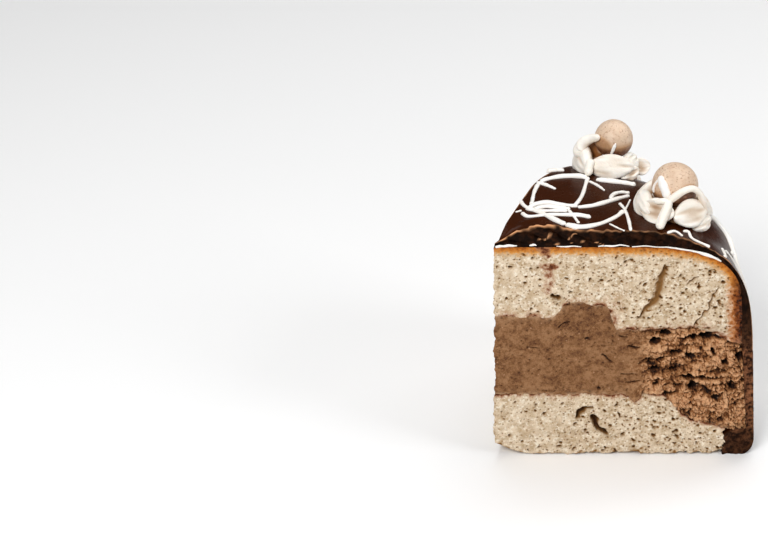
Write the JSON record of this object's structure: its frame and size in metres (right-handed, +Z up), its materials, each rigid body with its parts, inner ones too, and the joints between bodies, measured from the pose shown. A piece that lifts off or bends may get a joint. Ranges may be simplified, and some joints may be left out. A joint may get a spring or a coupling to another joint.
{
  "type": "chocolate chestnut cake slice",
  "caption": "Wedge of layered sponge cake with chocolate filling, domed dark glaze with white strands, piped cream rosettes and chestnut balls, for serving as a dessert.",
  "frame": {"origin": "middle of the slice's bounding box on the surface it stands on", "axes": "+Z up; the cut that the picture shows faces -Y, with the slice's tip at -X and its outer wall at +X"},
  "size_m": [0.1032, 0.098, 0.1141],
  "materials": {
    "sponge": "open pale crumb with dark pores",
    "filling": "soft chocolate cream, crumbly near the wall",
    "glaze": "shiny dark chocolate with white chocolate strands",
    "cream": "soft piped cream",
    "chestnut": "smooth chestnut paste"
  },
  "bodies": {
    "root": {"bottom_sponge": "sponge", "chocolate_filling": "filling", "top_sponge": "sponge", "chocolate_glaze": "glaze", "base_border": "cream", "rosette_1": "cream", "rosette_2": "cream", "ball_1": "chestnut", "ball_2": "chestnut"}
  },
  "joints": []
}
